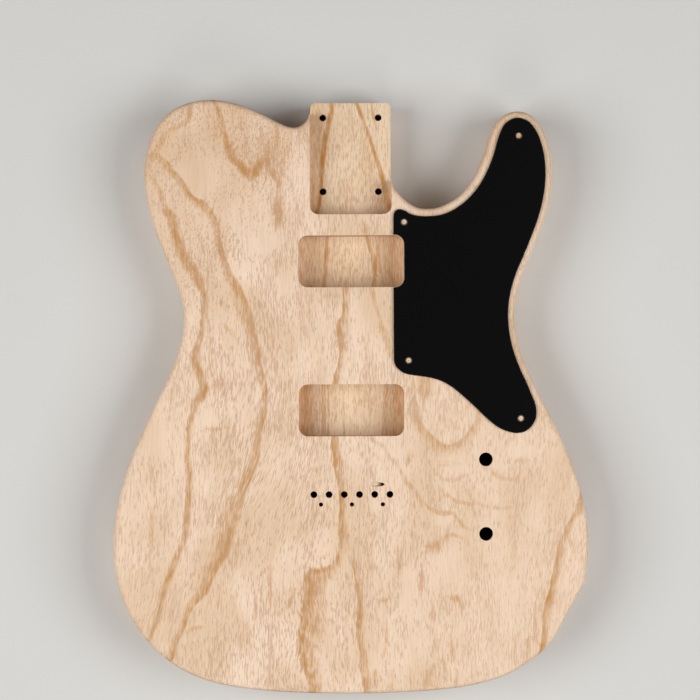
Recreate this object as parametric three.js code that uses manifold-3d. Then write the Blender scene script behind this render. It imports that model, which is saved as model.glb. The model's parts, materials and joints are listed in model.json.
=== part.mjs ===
// Bare electric guitar body: one cutaway, a bolt-on neck pocket, and controls fitted from the back.
// Millimetres. The front face looks up (+Z), the neck leaves toward +Y, and +X is the treble side.
// The body lies on its back. Its origin is on the neck's centre line, halfway along, on the back.
import * as THREE from 'three';
import { mergeVertices } from 'three/addons/utils/BufferGeometryUtils.js';
import Module from 'manifold-3d';

const wasm = await Module();
wasm.setup();

// Body blank. Places along the body are measured from its tail edge, and across it from the centre line.
const body_length = 405.6;
const bass_reach = 163.1;
const treble_reach = 161.4;
const body_thickness = 44.45;
const edge_round = 3.2;
const seam_place = -43;

// Neck pocket and the heel under it. The heel ends just short of the upper bout.
const heel_end_inset = 1.4;
const pocket_length = 77.1;
const pocket_width = 55.9;
const pocket_depth = 15.9;
const pocket_corner_round = 6;
const heel_side_inset = 0.45;
const heel_corner_round = 3.3;
const neck_bolt_bore = 4.76;
const neck_bolt_spacing_across = 38.1;
const neck_bolt_spacing_along = 50.8;
const neck_bolt_from_end = 16.3;

// Two pickup cavities, one by the neck and one by the bridge
const pickup_width = 71.9;
const pickup_length = 35.4;
const pickup_depth = 22.2;
const pickup_corner_round = 6.2;
const neck_pickup_from_pocket = 32.1;
const bridge_pickup_from_strings = 57.5;

// Bridge: six strings that pass through the body, and three screws behind them
const string_line_place = 135.9;
const string_count = 6;
const string_spread = 51.9;
const string_bore = 4.76;
const ferrule_bore = 8;
const ferrule_depth = 11;
const bridge_screw_count = 3;
const bridge_screw_spread = 42.2;
const bridge_screw_behind = 6.75;
const bridge_screw_bore = 3;
const bridge_screw_depth = 20;

// Controls: two shafts through the front, a cavity open at the back, and a jack bore in the side
const pot_across = 91.5;
const upper_pot_place = 159.5;
const pot_spacing = 50.8;
const pot_bore = 9.5;
const control_width = 46;
const control_length = 118;
const control_corner_round = 16;
const control_roof = 6.35;
const control_centre_place = 131;
const jack_bore = 22.2;
const jack_bore_past_wall = 10;

// Wire ways: two level channels between the cavities, and a slanted bore that grounds the bridge
const channel_bore = 6.35;
const channel_above_floor = 1.5;
const long_channel_across = 24;
const cross_channel_drop = 44;
const ground_bore = 3.2;
const ground_slant = THREE.MathUtils.degToRad(17.5);
const ground_across = 17;
const ground_above_strings = 6.9;

// Back cover, which lies in a recess on a ledge round the control cavity
const cover_thickness = 2;
const cover_below_back = 0.1;
const cover_ledge = 8;
const cover_edge_gap = 0.3;
const cover_screw_from_edge = 4.2;

// Cover screws: countersunk, cross recessed, with a point
const screw_diameter = 2.9;
const screw_head_diameter = 5.6;
const screw_length = 12.7;
const screw_point_length = 3;
const screw_rim = 0.25;
const screw_slot_length = 3.2;
const screw_slot_width = 0.8;
const screw_slot_depth = 0.9;
const fit_gap = 0.3;

// Guard: one sheet that follows the body's edge and steps round the neck pickup
const guard_thickness = 2;
const guard_chamfer = 0.4;
const guard_inner_edge = 28.9;
const guard_edge_inset = 4.3;
const guard_cutaway_inset = 5.6;
const guard_pickup_gap = 0.3;
const guard_screw_hole = 3.6;
const guard_countersink = 6.2;
const awl_mark_diameter = 1;
const awl_mark_depth = 0.7;

// Facets, and how far a cutting tool runs past the face that it cuts
const overrun = 5;
const spans_per_point = 3;
const edge_facets = 3;
const corner_facets = 6;
const bore_facets = 24;
const small_bore_facets = 16;

// Outline of the treble side, from the upper end of the jack flat, round the horn and into the cutaway.
// Each point is a share of the reach and a share of the body's length.
const treble_outline_shares = [
  [0.9814, 0.1847], [0.9957, 0.2219], [0.9994, 0.2613], [0.9833, 0.3146], [0.9442, 0.3713],
  [0.8897, 0.4263], [0.8237, 0.4793], [0.7577, 0.5321], [0.7113, 0.5782], [0.6896, 0.6312],
  [0.7069, 0.6844], [0.7621, 0.7392], [0.8154, 0.7941], [0.8451, 0.8432], [0.8488, 0.891],
  [0.8327, 0.9265], [0.8116, 0.9477], [0.7844, 0.964], [0.746, 0.9756], [0.6983, 0.9787],
  [0.6524, 0.9729], [0.6165, 0.9598], [0.596, 0.9428], [0.566, 0.9051], [0.5248, 0.8691],
  [0.4634, 0.8383], [0.3786, 0.819], [0.3302, 0.8158], [0.2813, 0.818], [0.2385, 0.8272],
  [0.2032, 0.8409], [0.1797, 0.8545],
];
const heel_treble_share = 0.8691;

// Outline of the bass side, from the heel, round the upper and lower bouts to the jack flat's lower end
const heel_bass_share = 0.9825;
const bass_outline_shares = [
  [-0.1735, 0.9739], [-0.1864, 0.964], [-0.2097, 0.9559], [-0.2391, 0.9532], [-0.279, 0.9573],
  [-0.3621, 0.974], [-0.4519, 0.9898], [-0.5469, 0.9991], [-0.645, 0.9983], [-0.737, 0.9846],
  [-0.8069, 0.9578], [-0.8473, 0.9221], [-0.8642, 0.8777], [-0.8504, 0.8249], [-0.8093, 0.7682],
  [-0.7535, 0.7138], [-0.7106, 0.6657], [-0.7011, 0.6238], [-0.7296, 0.5695], [-0.7971, 0.5079],
  [-0.8817, 0.4369], [-0.9516, 0.3634], [-0.9908, 0.2959], [-1, 0.2465], [-0.9841, 0.1889],
  [-0.9332, 0.1336], [-0.8498, 0.0853], [-0.7382, 0.0468], [-0.6058, 0.0222], [-0.4623, 0.0099],
  [-0.3164, 0.0037], [-0.1533, 0.0007], [0, 0], [0.1753, 0.0012], [0.373, 0.0059],
  [0.5204, 0.0145], [0.6617, 0.0321], [0.7856, 0.0639], [0.8507, 0.089],
];

// Outline of the guard where it leaves the body's edge: its lower lobe, then its tip beside the neck
const guard_lower_shares = [
  [0.186, 0.5513], [0.199, 0.5454], [0.2243, 0.5385], [0.2745, 0.5345], [0.3253, 0.5316],
  [0.3761, 0.5259], [0.4263, 0.5147], [0.4771, 0.4978], [0.5273, 0.4793], [0.5781, 0.4598],
  [0.6283, 0.445], [0.6791, 0.4381], [0.7045, 0.4374], [0.7299, 0.4398], [0.7546, 0.4465],
  [0.7763, 0.4596], [0.7813, 0.4729], [0.7763, 0.4864], [0.7571, 0.5054],
];
const guard_tip_shares = [[0.252, 0.8067], [0.2268, 0.8124], [0.202, 0.8146], [0.184, 0.8102]];
const guard_corner_start_share = 0.5597;
const guard_corner_end_share = 0.8013;
const guard_screw_shares = [[0.7114, 0.9375], [0.2252, 0.793], [0.242, 0.5602], [0.7152, 0.4621]];

// The guard follows the treble outline between these shares of its length, and moves in past the horn
const guard_follow_start_share = 0.3;
const guard_follow_end_share = 0.935;
const guard_follow_points = 25;
const horn_tip_share = 0.7;
const horn_inside_share = 0.8;

// Turns a geometry into a solid: only positions stay, shared vertices meet, and empty triangles go
function solid_of(geometry) {
  const bare = geometry.clone();
  bare.deleteAttribute('normal');
  bare.deleteAttribute('uv');
  const merged = mergeVertices(bare);
  const corners = [];
  for (let i = 0; i < merged.index.count; i += 3) {
    const [a, b, c] = [0, 1, 2].map((k) => merged.index.getX(i + k));
    if (a !== b && b !== c && c !== a) corners.push(a, b, c);
  }
  const vertProperties = new Float32Array(merged.attributes.position.array);
  const triVerts = new Uint32Array(corners);
  return new wasm.Manifold(new wasm.Mesh({ numProp: 3, vertProperties, triVerts }));
}

function geometry_of(solid) {
  const mesh = solid.getMesh();
  const geometry = new THREE.BufferGeometry();
  geometry.setAttribute('position', new THREE.BufferAttribute(new Float32Array(mesh.vertProperties), 3));
  geometry.setIndex(new THREE.BufferAttribute(new Uint32Array(mesh.triVerts), 1));
  geometry.computeVertexNormals();
  return geometry;
}

function cut_all(solid, tools) {
  return tools.reduce((left, tool) => left.subtract(tool), solid);
}

// A straight-sided tool or plate with the given outline, between two heights
function prism(outline, low, high) {
  const shape = new THREE.Shape(outline);
  const geometry = new THREE.ExtrudeGeometry(shape, { depth: high - low, bevelEnabled: false });
  geometry.translate(0, 0, low);
  return solid_of(geometry);
}

// A plate whose top and bottom edges are rounded off, or chamfered when it has one facet
function eased_plate(outline, low, high, ease, facets) {
  const geometry = new THREE.ExtrudeGeometry(new THREE.Shape(outline), {
    depth: high - low - 2 * ease,
    bevelThickness: ease,
    bevelSize: ease,
    bevelOffset: -ease,
    bevelSegments: facets,
  });
  geometry.translate(0, 0, low + ease);
  return solid_of(geometry);
}

function rectangle(low_x, low_y, high_x, high_y) {
  return [[low_x, low_y], [high_x, low_y], [high_x, high_y], [low_x, high_y]].map(
    ([x, y]) => new THREE.Vector2(x, y),
  );
}

// A quarter turn of a corner, anticlockwise from the given quarter
function corner_arc(centre_x, centre_y, radius, quarter) {
  return Array.from({ length: corner_facets + 1 }, (_, i) => {
    const angle = (quarter + i / corner_facets) * Math.PI / 2;
    return new THREE.Vector2(centre_x + radius * Math.cos(angle), centre_y + radius * Math.sin(angle));
  });
}

function rounded_rectangle(centre_x, centre_y, width, length, radius) {
  const x = width / 2 - radius;
  const y = length / 2 - radius;
  return [
    ...corner_arc(centre_x + x, centre_y + y, radius, 0),
    ...corner_arc(centre_x - x, centre_y + y, radius, 1),
    ...corner_arc(centre_x - x, centre_y - y, radius, 2),
    ...corner_arc(centre_x + x, centre_y - y, radius, 3),
  ];
}

// An upright round bore
function bore(x, y, diameter, low, high, facets = bore_facets) {
  const geometry = new THREE.CylinderGeometry(diameter / 2, diameter / 2, high - low, facets);
  geometry.rotateX(Math.PI / 2);
  geometry.translate(x, y, (low + high) / 2);
  return solid_of(geometry);
}

// A round bore drilled from one point to another
function drilled(from, to, diameter) {
  const run = to.clone().sub(from);
  const geometry = new THREE.CylinderGeometry(diameter / 2, diameter / 2, run.length(), bore_facets);
  const turn = new THREE.Quaternion().setFromUnitVectors(new THREE.Vector3(0, 1, 0), run.normalize());
  geometry.applyQuaternion(turn);
  const middle = from.clone().add(to).multiplyScalar(0.5);
  geometry.translate(middle.x, middle.y, middle.z);
  return solid_of(geometry);
}

// A solid turned round an upright axis. The profile lists radius and height.
function turned(profile, x, y, facets = small_bore_facets) {
  const geometry = new THREE.LatheGeometry(profile.map(([r, h]) => new THREE.Vector2(r, h)), facets);
  geometry.rotateX(Math.PI / 2);
  geometry.translate(x, y, 0);
  return solid_of(geometry);
}

function evenly_spread(count, spread) {
  return Array.from({ length: count }, (_, i) => (i / (count - 1) - 1 / 2) * spread);
}

function place_of([across_share, along_share]) {
  const reach = across_share < 0 ? bass_reach : treble_reach;
  return new THREE.Vector3(across_share * reach, along_share * body_length, 0);
}

function curve_through(places) {
  return new THREE.CatmullRomCurve3(places, false, 'centripetal');
}

function flat_points(curve) {
  const spans = curve.points.length - 1;
  return curve.getPoints(spans * spans_per_point).map((point) => new THREE.Vector2(point.x, point.y));
}

// Body outline. Both curves run into the straight sides of the heel.
const heel_half_width = pocket_width / 2 - heel_side_inset;
const treble_curve = curve_through([
  ...treble_outline_shares.map(place_of),
  new THREE.Vector3(heel_half_width, heel_treble_share * body_length, 0),
]);
const bass_curve = curve_through([
  new THREE.Vector3(-heel_half_width, heel_bass_share * body_length, 0),
  ...bass_outline_shares.map(place_of),
]);
const jack_flat_upper = place_of(treble_outline_shares[0]);
const jack_flat_lower = place_of(bass_outline_shares[bass_outline_shares.length - 1]);
const pocket_floor = body_thickness - pocket_depth;
const heel_end_place = body_length - heel_end_inset;
const pocket_end_place = heel_end_place - pocket_length;

function body_outline() {
  const corner_x = heel_half_width - heel_corner_round;
  const corner_y = heel_end_place - heel_corner_round;
  return [
    ...flat_points(treble_curve),
    ...corner_arc(corner_x, corner_y, heel_corner_round, 0),
    ...corner_arc(-corner_x, corner_y, heel_corner_round, 1),
    ...flat_points(bass_curve),
  ];
}

// The pocket is open at the heel's end and at its two inner corners it is rounded by the cutter
function neck_pocket() {
  const x = pocket_width / 2;
  const corner_x = x - pocket_corner_round;
  const corner_y = pocket_end_place + pocket_corner_round;
  const outline = [
    ...corner_arc(-corner_x, corner_y, pocket_corner_round, 2),
    ...corner_arc(corner_x, corner_y, pocket_corner_round, 3),
    new THREE.Vector2(x, heel_end_place + overrun),
    new THREE.Vector2(-x, heel_end_place + overrun),
  ];
  return prism(outline, pocket_floor, body_thickness + overrun);
}

function neck_bolt_bores() {
  const bores = [];
  for (const x of evenly_spread(2, neck_bolt_spacing_across)) {
    for (const row of [0, neck_bolt_spacing_along]) {
      const y = pocket_end_place + neck_bolt_from_end + row;
      bores.push(bore(x, y, neck_bolt_bore, -overrun, pocket_floor + overrun));
    }
  }
  return bores;
}

const pickup_floor = body_thickness - pickup_depth;
const neck_pickup_place = pocket_end_place - neck_pickup_from_pocket;
const bridge_pickup_place = string_line_place + bridge_pickup_from_strings;

function pickup_cavity(place, gap = 0, low = pickup_floor) {
  const width = pickup_width + 2 * gap;
  const length = pickup_length + 2 * gap;
  const outline = rounded_rectangle(0, place, width, length, pickup_corner_round + gap);
  return prism(outline, low, body_thickness + guard_thickness + overrun);
}

function string_bores() {
  return evenly_spread(string_count, string_spread).flatMap((x) => [
    bore(x, string_line_place, string_bore, -overrun, body_thickness + overrun, small_bore_facets),
    bore(x, string_line_place, ferrule_bore, -overrun, ferrule_depth, small_bore_facets),
  ]);
}

function bridge_screw_bores() {
  const y = string_line_place - bridge_screw_behind;
  const low = body_thickness - bridge_screw_depth;
  return evenly_spread(bridge_screw_count, bridge_screw_spread).map(
    (x) => bore(x, y, bridge_screw_bore, low, body_thickness + overrun, small_bore_facets),
  );
}

// Control cavity, its ledge, and the bores that reach it
const control_ceiling = body_thickness - control_roof;
const ledge_height = cover_below_back + cover_thickness;
const cover_width = control_width + 2 * cover_ledge;
const cover_length = control_length + 2 * cover_ledge;
const cover_round = control_corner_round + cover_ledge;

function control_cavity() {
  const recess_width = cover_width + 2 * cover_edge_gap;
  const recess_length = cover_length + 2 * cover_edge_gap;
  const centred = (...sizes) => rounded_rectangle(pot_across, control_centre_place, ...sizes);
  return [
    prism(centred(control_width, control_length, control_corner_round), -overrun, control_ceiling),
    prism(centred(recess_width, recess_length, cover_round + cover_edge_gap), -overrun, ledge_height),
  ];
}

function pot_bores() {
  return [upper_pot_place, upper_pot_place - pot_spacing].map(
    (y) => bore(pot_across, y, pot_bore, control_ceiling - overrun, body_thickness + overrun),
  );
}

// The jack bore is square to the flat on the lower bout, and runs into the control cavity
function jack_hole() {
  const middle = jack_flat_upper.clone().add(jack_flat_lower).multiplyScalar(0.5);
  const along = jack_flat_upper.clone().sub(jack_flat_lower).normalize();
  const inward = new THREE.Vector3(-along.y, along.x, 0);
  middle.z = body_thickness / 2;
  const cavity_wall = pot_across + control_width / 2;
  const depth = (cavity_wall - middle.x) / inward.x + jack_bore_past_wall;
  const outside = middle.clone().addScaledVector(inward, -overrun);
  const inside = middle.clone().addScaledVector(inward, depth);
  return drilled(outside, inside, jack_bore);
}

function wire_channels() {
  const z = pickup_floor + channel_bore / 2 + channel_above_floor;
  const in_neck_cavity = new THREE.Vector3(long_channel_across, neck_pickup_place, z);
  const in_bridge_cavity = new THREE.Vector3(long_channel_across, bridge_pickup_place, z);
  const in_controls = new THREE.Vector3(pot_across, bridge_pickup_place - cross_channel_drop, z);
  return [
    drilled(in_neck_cavity, in_bridge_cavity, channel_bore),
    drilled(in_bridge_cavity, in_controls, channel_bore),
  ];
}

function ground_hole() {
  const y = string_line_place + ground_above_strings;
  const slope = new THREE.Vector3(Math.cos(ground_slant), 0, -Math.sin(ground_slant));
  const mouth = new THREE.Vector3(ground_across, y, body_thickness);
  const reach = (pot_across - ground_across) / Math.cos(ground_slant);
  const above = mouth.clone().addScaledVector(slope, -overrun / Math.sin(ground_slant));
  return drilled(above, mouth.clone().addScaledVector(slope, reach), ground_bore);
}

// A prick from an awl marks each guard screw on the bare wood
function awl_marks() {
  const top = body_thickness + awl_mark_depth;
  const profile = [[0, body_thickness - awl_mark_depth], [awl_mark_diameter, top], [0, top]];
  return guard_screw_shares.map(place_of).map((place) => turned(profile, place.x, place.y));
}

const cover_screw_places = (() => {
  const reach_x = cover_width / 2 - cover_screw_from_edge;
  const reach_y = cover_length / 2 - cover_screw_from_edge;
  const corner_pull = cover_round - cover_screw_from_edge;
  const corner_x = reach_x - corner_pull * (1 - Math.SQRT1_2);
  const corner_y = reach_y - corner_pull * (1 - Math.SQRT1_2);
  const places = [[corner_x, corner_y], [reach_x, 0], [corner_x, -corner_y]];
  return places.flatMap(([x, y]) => [
    new THREE.Vector2(pot_across + x, control_centre_place + y),
    new THREE.Vector2(pot_across - x, control_centre_place + y),
  ]);
})();

function cover_screw_pilots() {
  const diameter = screw_diameter + 2 * fit_gap;
  const high = cover_below_back + screw_length + fit_gap;
  return cover_screw_places.map(({ x, y }) => bore(x, y, diameter, 0, high, small_bore_facets));
}

function body_solid() {
  return cut_all(eased_plate(body_outline(), 0, body_thickness, edge_round, edge_facets), [
    neck_pocket(),
    ...neck_bolt_bores(),
    pickup_cavity(neck_pickup_place),
    pickup_cavity(bridge_pickup_place),
    ...string_bores(),
    ...bridge_screw_bores(),
    ...control_cavity(),
    ...cover_screw_pilots(),
    ...pot_bores(),
    jack_hole(),
    ...wire_channels(),
    ground_hole(),
    ...awl_marks(),
  ]);
}

// The two boards of the blank meet on one upright plane, edge to edge
function board(solid, from_x, to_x) {
  const outline = rectangle(from_x, -overrun, to_x, body_length + overrun);
  return solid.intersect(prism(outline, -overrun, body_thickness + overrun));
}

// Points inside the treble edge, which runs anticlockwise, so that its left side is wood
function guard_follow_places() {
  return Array.from({ length: guard_follow_points }, (_, i) => {
    const run = i / (guard_follow_points - 1);
    const at = THREE.MathUtils.lerp(guard_follow_start_share, guard_follow_end_share, run);
    const past_horn = THREE.MathUtils.smoothstep(at, horn_tip_share, horn_inside_share);
    const inset = THREE.MathUtils.lerp(guard_edge_inset, guard_cutaway_inset, past_horn);
    const tangent = treble_curve.getTangentAt(at);
    const place = treble_curve.getPointAt(at);
    return place.add(new THREE.Vector3(-tangent.y, tangent.x, 0).multiplyScalar(inset));
  });
}

function guard_outline() {
  const inner_corner = (share) => new THREE.Vector3(guard_inner_edge, share * body_length, 0);
  return flat_points(curve_through([
    inner_corner(guard_corner_start_share),
    ...guard_lower_shares.map(place_of),
    ...guard_follow_places(),
    ...guard_tip_shares.map(place_of),
    inner_corner(guard_corner_end_share),
  ]));
}

function guard_screw_cutter(place) {
  const hole = guard_screw_hole / 2;
  const sink = guard_countersink / 2;
  const top = body_thickness + guard_thickness;
  const low = body_thickness - overrun;
  const sink_low = top - (sink - hole);
  const profile = [[0, low], [hole, low], [hole, sink_low], [sink + overrun, top + overrun], [0, top + overrun]];
  return turned(profile, place.x, place.y, bore_facets);
}

// The top edge is chamfered. The sheet starts one chamfer too low and is cut flat where it lies.
function guard_solid() {
  const low = body_thickness - 2 * guard_chamfer;
  const sheet = eased_plate(guard_outline(), low, body_thickness + guard_thickness, guard_chamfer, 1);
  const under = prism(rectangle(0, 0, treble_reach, body_length), low - overrun, body_thickness);
  return cut_all(sheet, [
    under,
    pickup_cavity(neck_pickup_place, guard_pickup_gap),
    ...guard_screw_shares.map(place_of).map(guard_screw_cutter),
  ]);
}

function cover_screw_cutter({ x, y }) {
  const hole = screw_diameter / 2 + fit_gap;
  const head = screw_head_diameter / 2 + fit_gap;
  const face = cover_below_back + screw_rim;
  const profile = [
    [0, cover_below_back - overrun], [head, cover_below_back - overrun], [head, face],
    [hole, face + head - hole], [hole, ledge_height + overrun], [0, ledge_height + overrun],
  ];
  return turned(profile, x, y);
}

function cover_solid() {
  const outline = rounded_rectangle(pot_across, control_centre_place, cover_width, cover_length, cover_round);
  return cut_all(prism(outline, cover_below_back, ledge_height), cover_screw_places.map(cover_screw_cutter));
}

// The head's face is flush with the cover, and the point leads up into the wood
function cover_screw_solid({ x, y }) {
  const shank = screw_diameter / 2;
  const head = screw_head_diameter / 2;
  const face = cover_below_back;
  const tip = face + screw_length;
  const profile = [
    [0, face], [head, face], [head, face + screw_rim], [shank, face + screw_rim + head - shank],
    [shank, tip - screw_point_length], [0, tip],
  ];
  const slots = [[screw_slot_length, screw_slot_width], [screw_slot_width, screw_slot_length]].map(
    ([width, length]) => {
      const geometry = new THREE.BoxGeometry(width, length, 2 * screw_slot_depth);
      geometry.translate(x, y, face);
      return solid_of(geometry);
    },
  );
  return cut_all(turned(profile, x, y), slots);
}

// Materials
const ash_board = (color) => new THREE.MeshStandardMaterial({ color, roughness: 0.75, metalness: 0 });
const guard_plastic = () => new THREE.MeshStandardMaterial({ color: 0x0c0c0c, roughness: 0.4, metalness: 0 });
const cover_plastic = () => new THREE.MeshStandardMaterial({ color: 0x121212, roughness: 0.55, metalness: 0 });
const blackened_steel = () => new THREE.MeshStandardMaterial({ color: 0x2a2a2c, roughness: 0.4, metalness: 1 });

function piece(name, solid, material) {
  const mesh = new THREE.Mesh(geometry_of(solid), material);
  mesh.name = name;
  return mesh;
}

// Assembly
const body = body_solid();
const guitar_body = new THREE.Group();
guitar_body.name = 'guitar_body';
guitar_body.add(piece('bass_board', board(body, -bass_reach - overrun, seam_place), ash_board(0xe5c6a4)));
guitar_body.add(piece('treble_board', board(body, seam_place, treble_reach + overrun), ash_board(0xe8caa8)));
guitar_body.add(piece('pickguard', guard_solid(), guard_plastic()));
guitar_body.add(piece('control_cover', cover_solid(), cover_plastic()));
cover_screw_places.forEach((place, i) => {
  guitar_body.add(piece(`cover_screw_${i + 1}`, cover_screw_solid(place), blackened_steel()));
});
guitar_body.position.y = -body_length / 2;

export default guitar_body;
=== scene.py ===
"""Dresses a bare ash guitar body in its finishes and lights it for a picture from straight above."""

import json
import math

import bmesh
import bpy
import numpy as np
from bpy.props import FloatProperty, FloatVectorProperty, PointerProperty
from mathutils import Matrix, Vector


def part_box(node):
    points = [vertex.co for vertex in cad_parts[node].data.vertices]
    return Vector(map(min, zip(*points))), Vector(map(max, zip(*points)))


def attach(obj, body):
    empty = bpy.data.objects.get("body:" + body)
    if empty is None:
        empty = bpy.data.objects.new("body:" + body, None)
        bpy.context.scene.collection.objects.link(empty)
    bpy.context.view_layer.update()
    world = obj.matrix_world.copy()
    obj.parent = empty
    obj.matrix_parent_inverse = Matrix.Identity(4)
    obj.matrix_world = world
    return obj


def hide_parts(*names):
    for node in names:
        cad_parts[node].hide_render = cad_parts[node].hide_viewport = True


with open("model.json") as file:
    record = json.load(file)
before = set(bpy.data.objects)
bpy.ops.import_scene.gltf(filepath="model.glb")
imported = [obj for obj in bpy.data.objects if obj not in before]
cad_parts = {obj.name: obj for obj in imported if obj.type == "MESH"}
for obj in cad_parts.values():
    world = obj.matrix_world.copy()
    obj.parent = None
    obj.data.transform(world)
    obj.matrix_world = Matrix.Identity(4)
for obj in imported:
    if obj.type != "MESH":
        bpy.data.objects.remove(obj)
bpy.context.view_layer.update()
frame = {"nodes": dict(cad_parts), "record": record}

bl_info = {
    "name": "Bare Ash Guitar Body",
    "version": (1, 0, 0),
    "blender": (4, 5, 0),
    "location": "3D View > Sidebar > Guitar Body",
    "description": "Dresses the packed guitar body in sanded ash, cut sheet plastic and blackened steel",
    "category": "Object",
}

# The frame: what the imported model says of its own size
FACE_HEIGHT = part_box("treble_board")[1].z
BACK_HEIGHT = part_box("treble_board")[0].z
BOARD_NODES = ("bass_board", "treble_board")
SCREW_NODES = tuple(sorted(name for name in frame["nodes"] if name.startswith("cover_screw_")))
MM = 0.001

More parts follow.
